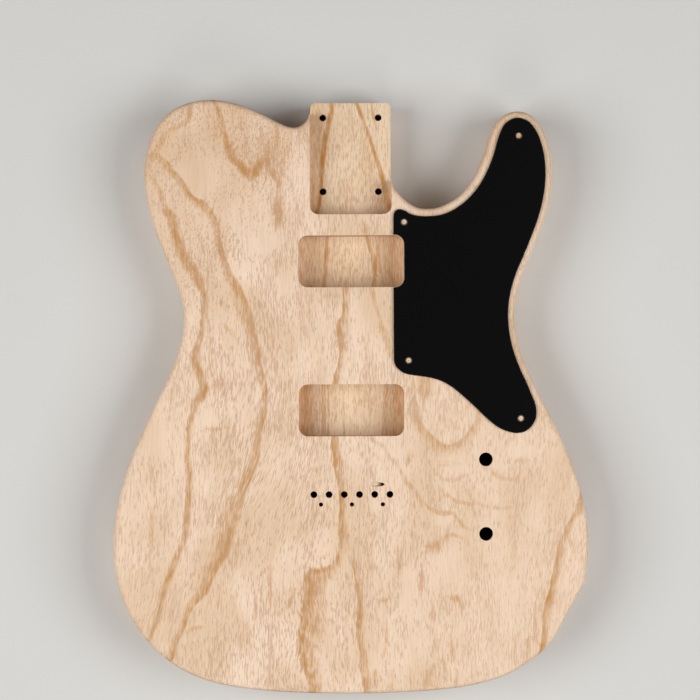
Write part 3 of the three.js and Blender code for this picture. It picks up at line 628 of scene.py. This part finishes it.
def point_sums(corner_values, corner_point, count):
    """Adds up what the corners at each point hold."""
    return np.column_stack([np.bincount(corner_point, column, count) for column in corner_values.T])


def smooth_normals(mesh):
    """Normals that run smoothly round curved walls and stay true on flat faces."""
    points, corner_point, corner_face, own = mesh_arrays(mesh)
    on_wall = np.abs(own[:, 2:]) < FLAT_COSINE
    mean = unit(point_sums(own * on_wall, corner_point, len(points)))[corner_point]
    return np.where((own * mean).sum(1, keepdims=True) > SMOOTH_COSINE, mean, own)


def rounded_edge_normals(mesh):
    """Smooth normals in which the sanded edge turns as a true quarter round."""
    points, corner_point, corner_face, own = mesh_arrays(mesh)
    height, upright = points[:, 2], np.abs(own[:, 2])
    above, below = height - (FACE_HEIGHT - EDGE_ROUND), BACK_HEIGHT + EDGE_ROUND - height
    rise = np.clip(np.maximum(above, below) / EDGE_ROUND, 0, 1) * np.where(above > below, 1, -1)
    off_middle = np.abs(height - (FACE_HEIGHT + BACK_HEIGHT) / 2)
    point_in_round = off_middle > (FACE_HEIGHT - BACK_HEIGHT) / 2 - EDGE_ROUND * EDGE_LOOK
    face_in_round = np.bincount(corner_face, ~point_in_round[corner_point]) == 0
    on_facet = (upright > EDGE_LEAST) & (upright < EDGE_MOST) & face_in_round[corner_face]
    on_edge = np.bincount(corner_point, on_facet, len(points)) > 0
    outward = unit(own * (1, 1, 0) * (upright < FLAT_COSINE)[:, None])
    outward = unit(point_sums(outward, corner_point, len(points)))
    turned = outward * np.sqrt(1 - rise**2)[:, None]
    turned[:, 2] = rise
    turned = turned[corner_point]
    use = on_edge[corner_point] & (upright < FLAT_COSINE) & ((turned * own).sum(1) > SMOOTH_COSINE)
    return np.where(use[:, None], turned, smooth_normals(mesh))


def set_normals(mesh, corner_normals):
    mesh.polygons.foreach_set("use_smooth", np.ones(len(mesh.polygons), bool))
    mesh.normals_split_custom_set(corner_normals)
    mesh.update()


def lay_grain(tree, place, fibre_lean, wander_reach):
    """The grain's noises. The grain runs along the body, leans with the fibres and wanders a little."""
    wander = add_node(tree, "ShaderNodeTexNoise", {"Vector": place, "Scale": 1 / WANDER_SIZE})
    wander = add_node(tree, "ShaderNodeMath", {0: wander, 1: wander_reach}, operation="MULTIPLY")
    sideways = add_node(tree, "ShaderNodeMath", {0: wander, 1: fibre_lean}, operation="SUBTRACT")
    sideways = add_node(tree, "ShaderNodeCombineXYZ", {"X": sideways})
    along_grain = add_node(tree, "ShaderNodeVectorMath", {0: place, 1: sideways}, operation="ADD")
    noises = {}
    for name, (across, along, detail) in GRAIN_NOISES.items():
        stretch = (1 / (across * MM), 1 / (along * MM), 1 / (across * MM))
        stretched = add_node(tree, "ShaderNodeVectorMath", {0: along_grain, 1: stretch}, operation="MULTIPLY")
        inputs = {"Vector": stretched, "Scale": 1.0, "Detail": detail}
        noises[name] = add_node(tree, "ShaderNodeTexNoise", inputs)
    return noises


def gild_bands(tree, stored, noises, fray):
    """How golden the wood is. Unrest frays the edges of the bands, whose crisp side is stronger and ends at
    once, while the other fades away. On the routed floors the wide shades also paint shade next to the walls."""
    unrest = add_node(tree, "ShaderNodeMath", {0: noises["fine_pores"], 1: -NOISE_MIDDLE})
    unrest = add_node(tree, "ShaderNodeMath", {0: unrest, 1: fray}, operation="MULTIPLY")
    by_side = []
    for soft_value, crisp_value in BAND_SIDES:
        inputs = {"Value": stored["band_crisp"], "From Min": -1, "To Min": soft_value, "To Max": crisp_value}
        by_side.append(add_node(tree, "ShaderNodeMapRange", inputs))
    golds = []
    for name, inner, outer, weight in (("band", *by_side), ("streak_and_floor_shade", *STREAK_SIDES)):
        offset = add_node(tree, "ShaderNodeMath", {0: stored[name], 1: unrest})
        offset = add_node(tree, "ShaderNodeMath", {0: offset}, operation="ABSOLUTE")
        inputs = {"Value": offset, "From Min": inner, "From Max": outer, "To Min": 1.0, "To Max": 0.0}
        shape = add_node(tree, "ShaderNodeMapRange", inputs, interpolation_type="SMOOTHSTEP")
        dark = add_node(tree, "ShaderNodeMath", {0: stored[f"{name}_dark"], 1: weight}, operation="MULTIPLY")
        golds.append(add_node(tree, "ShaderNodeMath", {0: shape, 1: dark}, operation="MULTIPLY"))
    gold = add_node(tree, "ShaderNodeMath", dict(enumerate(golds)), operation="MAXIMUM")
    for name, (least, most) in GOLD_CHANGES.items():
        inputs = {
            "Value": noises[name], "From Min": NOISE_LOW, "From Max": NOISE_HIGH,
            "To Min": least, "To Max": most,
        }
        change = add_node(tree, "ShaderNodeMapRange", inputs)
        gold = add_node(tree, "ShaderNodeMath", {0: gold, 1: change}, operation="MULTIPLY", use_clamp=True)
    return gold


def tint_ground(tree, settings, routed_floor, noises, toward_bout, off_busy):
    """The ground colour: two tones in clouds, browner in the upper bout and warmer toward both sides. Each
    layer has what leads it, where it starts and is full, how strong it gets and its colour."""
    layers = (
        (noises["clouds"], NOISE_LOW, NOISE_HIGH, 1.0, settings.pale_warm),
        (noises["streaks"], 0.5, 0.8, 0.5, settings.pale_warm),
        (toward_bout, 0.19, 0.28, 0.28, settings.upper_tint),
        (off_busy, 30 * MM, 100 * MM, 0.35, settings.pale_warm),
        # The routed floors turn warmer and a little darker
        (routed_floor, 0.0, 1.0, 0.5, settings.floor_tint),
    )
    tone = settings.pale
    for leader, start, full, strength, tint in layers:
        inputs = {"Value": leader, "From Min": start, "From Max": full, "To Max": strength}
        factor = add_node(tree, "ShaderNodeMapRange", inputs, interpolation_type="SMOOTHSTEP")
        tone = add_node(tree, "ShaderNodeMix", {"Factor": factor, 6: tone, 7: tint}, data_type="RGBA")
    return tone


def cut_pores(tree, stored, noises, gold, toward_bout, off_busy):
    """How open the wood is: pores are cut where a noise and the wood's richness together pass a level. They
    are more in the golden wood and in rich patches, and shorter in the upper bout."""
    inputs = {
        "Value": noises["patches"], "From Min": NOISE_LOW, "From Max": NOISE_HIGH,
        "To Min": POOREST_PATCH, "To Max": RICHEST_PATCH,
    }
    richness = add_node(tree, "ShaderNodeMapRange", inputs)
    gold_share = add_node(tree, "ShaderNodeMath", {0: gold, 1: GOLD_OPENNESS}, operation="MULTIPLY")
    richness = add_node(tree, "ShaderNodeMath", {0: richness, 1: gold_share})
    calm = add_node(tree, "ShaderNodeMath", {0: stored["calm"], 1: CALM_STRENGTH}, operation="MULTIPLY")
    richness = add_node(tree, "ShaderNodeMath", {0: richness, 1: calm}, operation="SUBTRACT")
    inputs = {"Value": toward_bout, "From Min": SHORT_FROM, "From Max": SHORT_TO}
    in_bout = add_node(tree, "ShaderNodeMapRange", inputs, interpolation_type="SMOOTHSTEP")
    inputs = {0: in_bout, 1: stored["routed_floor"]}
    in_bout = add_node(tree, "ShaderNodeMath", inputs, operation="SUBTRACT", use_clamp=True)
    inputs = {"Factor": in_bout, 2: noises["fine_pores"], 3: noises["short_pores"]}
    fine = add_node(tree, "ShaderNodeMix", inputs)
    open_wood = 0.0
    cuts = (
        (fine, 0.49, 0.66, 0.4),
        (noises["pores"], 0.6, 0.71, 0.38),
        (noises["vessel_lines"], 0.58, 0.75, 0.3),
    )
    for noise, level, full, strength in cuts:
        rich = add_node(tree, "ShaderNodeMath", {0: noise, 1: richness})
        inputs = {"Value": rich, "From Min": level, "From Max": full, "To Max": strength}
        cut = add_node(tree, "ShaderNodeMapRange", inputs, interpolation_type="SMOOTHSTEP")
        open_wood = add_node(tree, "ShaderNodeMath", {0: open_wood, 1: cut}, operation="MAXIMUM")
    inputs = {
        "Value": off_busy, "From Min": BUSY_NEAR, "From Max": BUSY_FAR,
        "To Min": BUSY_MOST, "To Max": BUSY_LEAST,
    }
    busy = add_node(tree, "ShaderNodeMapRange", inputs, interpolation_type="SMOOTHSTEP")
    return add_node(tree, "ShaderNodeMath", {0: open_wood, 1: busy}, operation="MULTIPLY")


def shade_fibres(tree, fibres):
    """Light and dark fibres, and end grain that drinks more light."""
    inputs = {"Value": fibres, "From Min": 0.3, "From Max": 0.7, "To Min": FIBRE_DARK, "To Max": FIBRE_LIGHT}
    shade = add_node(tree, "ShaderNodeMapRange", inputs)
    normal = add_node(tree, "ShaderNodeNewGeometry").outputs["Normal"]
    facing = add_node(tree, "ShaderNodeSeparateXYZ", {0: normal}).outputs["Y"]
    facing = add_node(tree, "ShaderNodeMath", {0: facing}, operation="ABSOLUTE")
    inputs = {"Value": facing, "From Min": END_GRAIN_TURN, "To Min": 1.0, "To Max": END_GRAIN_SHADE}
    end_shade = add_node(tree, "ShaderNodeMapRange", inputs, interpolation_type="SMOOTHSTEP")
    shade = add_node(tree, "ShaderNodeMath", {0: shade, 1: end_shade}, operation="MULTIPLY")
    return add_node(tree, "ShaderNodeCombineColor", {0: shade, 1: shade, 2: shade})


def sanded_ash(settings):
    """Swamp ash, machine sanded and left bare. The eye reads the golden bands of open early wood first,
    then fine fibres and short brown pores lying along the grain on pale, dry, dull wood."""
    material, tree, shader, place = new_material("sanded_ash")
    stored = {}
    for name in FIGURE_NAMES:
        stored[name] = add_node(tree, "ShaderNodeAttribute", attribute_name=name).outputs["Fac"]
    noises = lay_grain(tree, place, stored["fibre_lean"], settings.wander)
    gold = gild_bands(tree, stored, noises, settings.fray)

    across = add_node(tree, "ShaderNodeSeparateXYZ", {0: place}).outputs["X"]
    toward_bout = add_node(tree, "ShaderNodeVectorMath", {0: place, 1: TOWARD_BOUT}, operation="DOT_PRODUCT")
    off_busy = add_node(tree, "ShaderNodeMath", {0: across, 1: BUSY_PLACE}, operation="SUBTRACT")
    off_busy = add_node(tree, "ShaderNodeMath", {0: off_busy}, operation="ABSOLUTE")
    tone = tint_ground(tree, settings, stored["routed_floor"], noises, toward_bout, off_busy)
    # On the routed floors the bands take the floor colour, which also paints shade next to the walls
    inputs = {"Factor": stored["routed_floor"], 6: settings.band_gold, 7: settings.floor_band_and_shade}
    band_and_floor_shade_colour = add_node(tree, "ShaderNodeMix", inputs, data_type="RGBA")
    tone = add_node(tree, "ShaderNodeMix", {"Factor": gold, 6: tone, 7: band_and_floor_shade_colour}, data_type="RGBA")
    open_wood = cut_pores(tree, stored, noises, gold, toward_bout, off_busy)
    tone = add_node(tree, "ShaderNodeMix", {"Factor": open_wood, 6: tone, 7: settings.pore}, data_type="RGBA")
    inputs = {"Factor": 1.0, 6: tone, 7: shade_fibres(tree, noises["fibres"])}
    tone = add_node(tree, "ShaderNodeMix", inputs, data_type="RGBA", blend_type="MULTIPLY")
    # Painted shade on the wire bore's deep wall
    inputs = {"Factor": stored["drilled"], 6: tone, 7: settings.bore_shade_colour}
    tone = add_node(tree, "ShaderNodeMix", inputs, data_type="RGBA")

    relief = add_node(tree, "ShaderNodeMath", {0: noises["fibres"], 1: open_wood}, operation="SUBTRACT")
    bump = add_node(tree, "ShaderNodeBump", {"Height": relief, "Strength": 0.35, "Distance": 0.08 * MM})
    inputs = {"Value": open_wood, "From Max": 0.4, "To Min": 0.62, "To Max": 0.8}
    roughness = add_node(tree, "ShaderNodeMapRange", inputs)
    inputs = {
        "Base Color": tone, "Roughness": roughness, "Normal": bump, "IOR": 1.5, "Specular IOR Level": 0.35,
    }
    set_inputs(tree, shader, inputs)
    return material


# Plastic, steel and floor


def cut_plastic_sheet(settings):
    """Black ABS sheet, cut to shape. A smooth plain black, whose face shows hardly a highlight from above."""
    material, tree, shader, place = new_material("cut_plastic_sheet")
    inputs = {"Vector": place, "Scale": 1 / SHEET_RIPPLE, "Detail": 3.0}
    ripple = add_node(tree, "ShaderNodeTexNoise", inputs)
    roughness = add_node(tree, "ShaderNodeMapRange", {"Value": ripple, "To Min": 0.12, "To Max": 0.2})
    bump = add_node(tree, "ShaderNodeBump", {"Height": ripple, "Strength": 0.06, "Distance": 0.02 * MM})
    inputs = {"Base Color": settings.guard_black, "Roughness": roughness, "Normal": bump, "IOR": ABS_IOR}
    set_inputs(tree, shader, inputs)
    return material


def moulded_plastic(settings):
    """Black ABS with the fine grain of its mould, which breaks up its highlights."""
    material, tree, shader, place = new_material("moulded_plastic")
    inputs = {"Vector": place, "Scale": 1 / settings.moulded_grain}
    grain = add_node(tree, "ShaderNodeTexVoronoi", inputs, feature="SMOOTH_F1")
    bump = add_node(tree, "ShaderNodeBump", {"Height": grain, "Strength": 0.3, "Distance": 0.05 * MM})
    roughness = add_node(tree, "ShaderNodeMapRange", {"Value": grain, "To Min": 0.5, "To Max": 0.62})
    inputs = {"Base Color": settings.cover_black, "Roughness": roughness, "Normal": bump, "IOR": ABS_IOR}
    set_inputs(tree, shader, inputs)
    return material


def blackened_steel(settings):
    """Steel with a black oxide skin. A dark metal glint, glossier in some spots than in others."""
    material, tree, shader, place = new_material("blackened_steel")
    inputs = {"Vector": place, "Scale": 1 / STEEL_UNEVENNESS, "Detail": 4.0}
    spots = add_node(tree, "ShaderNodeTexNoise", inputs)
    roughness = add_node(tree, "ShaderNodeMapRange", {"Value": spots, "To Min": 0.28, "To Max": 0.5})
    set_inputs(tree, shader, {"Base Color": settings.oxide_black, "Metallic": 1.0, "Roughness": roughness})
    return material


def painted_floor(settings):
    """A smooth painted studio floor, matt enough to hold a soft shadow and no reflection. Past the lamps'
    reach it turns evenly pale, so that a low view has a plain background. That part shows to the camera, in
    gloss and through glass only, and lights nothing."""
    material, tree, shader, place = new_material("painted_floor")
    set_inputs(tree, shader, {"Base Color": settings.floor, "Roughness": 0.9, "Specular IOR Level": 0.0})
    distance = add_node(tree, "ShaderNodeVectorMath", {0: place}, operation="LENGTH").outputs["Value"]
    inputs = {"Value": distance, "From Min": EVEN_FROM, "From Max": EVEN_TO}
    far = add_node(tree, "ShaderNodeMapRange", inputs, interpolation_type="SMOOTHSTEP")
    rays = add_node(tree, "ShaderNodeLightPath").outputs
    seen = rays["Is Camera Ray"]
    for kind in ("Is Glossy Ray", "Is Transmission Ray"):
        seen = add_node(tree, "ShaderNodeMath", {0: seen, 1: rays[kind]}, operation="MAXIMUM")
    share = add_node(tree, "ShaderNodeMath", {0: far, 1: seen}, operation="MULTIPLY")
    even = add_node(tree, "ShaderNodeEmission", {"Color": settings.floor, "Strength": EVEN_STRENGTH})
    floor = add_node(tree, "ShaderNodeMixShader", {0: share, 1: shader, 2: even})
    set_inputs(tree, tree.nodes["output"], {"Surface": floor})
    return material


# Pieces and stage


def smooth_copy(node):
    """The node's own shape with smooth curved walls and true flat faces."""
    mesh = finished_mesh(whole_faces(node), node)
    set_normals(mesh, smooth_normals(mesh))
    return mesh


def add_piece(name, mesh, material, slot, *nodes):
    """Puts a finished mesh into the scene in place of its CAD nodes."""
    mesh.name = name
    mesh.materials.append(material)
    piece = bpy.data.objects.new(name, mesh)
    bpy.context.scene.collection.objects.link(piece)
    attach(piece, "root")
    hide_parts(*nodes)


class GUITAR_BODY_OT_boards(bpy.types.Operator):
    """Give both boards of the body their sanded ash, with one grain figure running across them"""

    bl_idname = "guitar_body.boards"
    bl_label = "Ash Boards"

    def execute(self, context):
        ash = context.scene.guitar_body.ash
        material = sanded_ash(ash)
        for node in BOARD_NODES:
            mesh = gridded_copy(node, ash.mesh_step)
            set_normals(mesh, rounded_edge_normals(mesh))
            store_figure(mesh)
            add_piece(f"ash_{node}", mesh, material, "ash", node)
        return {"FINISHED"}


class GUITAR_BODY_OT_pickguard(bpy.types.Operator):
    """Make the guard of cut black sheet plastic"""

    bl_idname = "guitar_body.pickguard"
    bl_label = "Pickguard"

    def execute(self, context):
        material = cut_plastic_sheet(context.scene.guitar_body.plastic)
        add_piece("guard_sheet", smooth_copy("pickguard"), material, "guard_plastic", "pickguard")
        return {"FINISHED"}


class GUITAR_BODY_OT_control_cover(bpy.types.Operator):
    """Make the back cover of moulded black plastic"""

    bl_idname = "guitar_body.control_cover"
    bl_label = "Control Cover"

    def execute(self, context):
        material = moulded_plastic(context.scene.guitar_body.plastic)
        add_piece("back_cover", smooth_copy("control_cover"), material, "cover_plastic", "control_cover")
        return {"FINISHED"}


class GUITAR_BODY_OT_cover_screws(bpy.types.Operator):
    """Make the screws of the back cover"""

    bl_idname = "guitar_body.cover_screws"
    bl_label = "Cover Screws"

    def execute(self, context):
        material = blackened_steel(context.scene.guitar_body.steel)
        for node in SCREW_NODES:
            add_piece(f"steel_{node}", smooth_copy(node), material, "screw_steel", node)
        return {"FINISHED"}


class GUITAR_BODY_OT_stage(bpy.types.Operator):
    """Lay the floor, hang the lamps and place the camera"""

    bl_idname = "guitar_body.stage"
    bl_label = "Stage"

    def execute(self, context):
        settings = context.scene.guitar_body.stage
        scene = context.scene
        scene.view_settings.view_transform = "Standard"

        camera = bpy.data.cameras.new("camera")
        camera.sensor_width = SENSOR_WIDTH
        camera.angle = CAMERA_ANGLE
        viewer = bpy.data.objects.new("camera", camera)
        viewer.location = CAMERA_PLACE
        viewer.rotation_euler = (0, 0, CAMERA_TURN)
        scene.collection.objects.link(viewer)
        scene.camera = viewer

        mesh = bpy.data.meshes.new("floor")
        floor_height = BACK_HEIGHT - FLOOR_DROP
        square = ((-1, -1), (1, -1), (1, 1), (-1, 1))
        corners = [(x * FLOOR_REACH, y * FLOOR_REACH, floor_height) for x, y in square]
        mesh.from_pydata(corners, [], [(0, 1, 2, 3)])
        mesh.materials.append(painted_floor(settings))
        floor = bpy.data.objects.new("floor", mesh)
        scene.collection.objects.link(floor)

        # Each lamp's place and the side of its square, in metres, and its power
        lamps = (
            ("left_lamp", (-1.5, -0.15, 1.7), 1.5, settings.side_power),
            ("right_lamp", (1.5, -0.15, 1.7), 1.5, settings.side_power),
            ("tail_lamp", (0, -1.5, 1.6), 0.9, settings.tail_power),
        )
        for name, place, side, power in lamps:
            lamp = bpy.data.lights.new(name, "AREA")
            lamp.shape = "SQUARE"
            lamp.size = side
            lamp.energy = power
            holder = bpy.data.objects.new(name, lamp)
            holder.location = place
            holder.rotation_euler = (-Vector(place)).to_track_quat("-Z", "Y").to_euler()
            scene.collection.objects.link(holder)

        world = bpy.data.worlds.new("studio")
        world.use_nodes = True
        world.node_tree.nodes.clear()
        inputs = {"Color": linear("#FFFFFF"), "Strength": settings.sky}
        sky = add_node(world.node_tree, "ShaderNodeBackground", inputs)
        add_node(world.node_tree, "ShaderNodeOutputWorld", {"Surface": sky})
        scene.world = world
        return {"FINISHED"}


class GUITAR_BODY_PT_panel(bpy.types.Panel):
    """Lists what the guitar body is made of"""

    bl_idname = "GUITAR_BODY_PT_panel"
    bl_label = "Guitar Body"
    bl_space_type = "VIEW_3D"
    bl_region_type = "UI"
    bl_category = "Guitar Body"

    def draw(self, context):
        settings = context.scene.guitar_body
        for operator in OPERATORS:
            self.layout.operator(operator.bl_idname)
        for group in (settings.ash, settings.plastic, settings.steel, settings.stage):
            box = self.layout.box()
            for name in group.bl_rna.properties.keys():
                if name not in ("rna_type", "name"):
                    box.prop(group, name)


OPERATORS = (
    GUITAR_BODY_OT_stage,
    GUITAR_BODY_OT_boards,
    GUITAR_BODY_OT_pickguard,
    GUITAR_BODY_OT_control_cover,
    GUITAR_BODY_OT_cover_screws,
)
SETTINGS = (AshSettings, PlasticSettings, SteelSettings, StageSettings, GuitarBodySettings)


def register():
    for part in (*SETTINGS, *OPERATORS, GUITAR_BODY_PT_panel):
        bpy.utils.register_class(part)
    bpy.types.Scene.guitar_body = PointerProperty(type=GuitarBodySettings)


def unregister():
    del bpy.types.Scene.guitar_body
    for part in (GUITAR_BODY_PT_panel, *reversed(OPERATORS), *reversed(SETTINGS)):
        bpy.utils.unregister_class(part)


def main():
    register()
    bpy.ops.guitar_body.stage()
    bpy.ops.guitar_body.boards()
    bpy.ops.guitar_body.pickguard()
    bpy.ops.guitar_body.control_cover()
    bpy.ops.guitar_body.cover_screws()


if __name__ == "__main__":
    main()
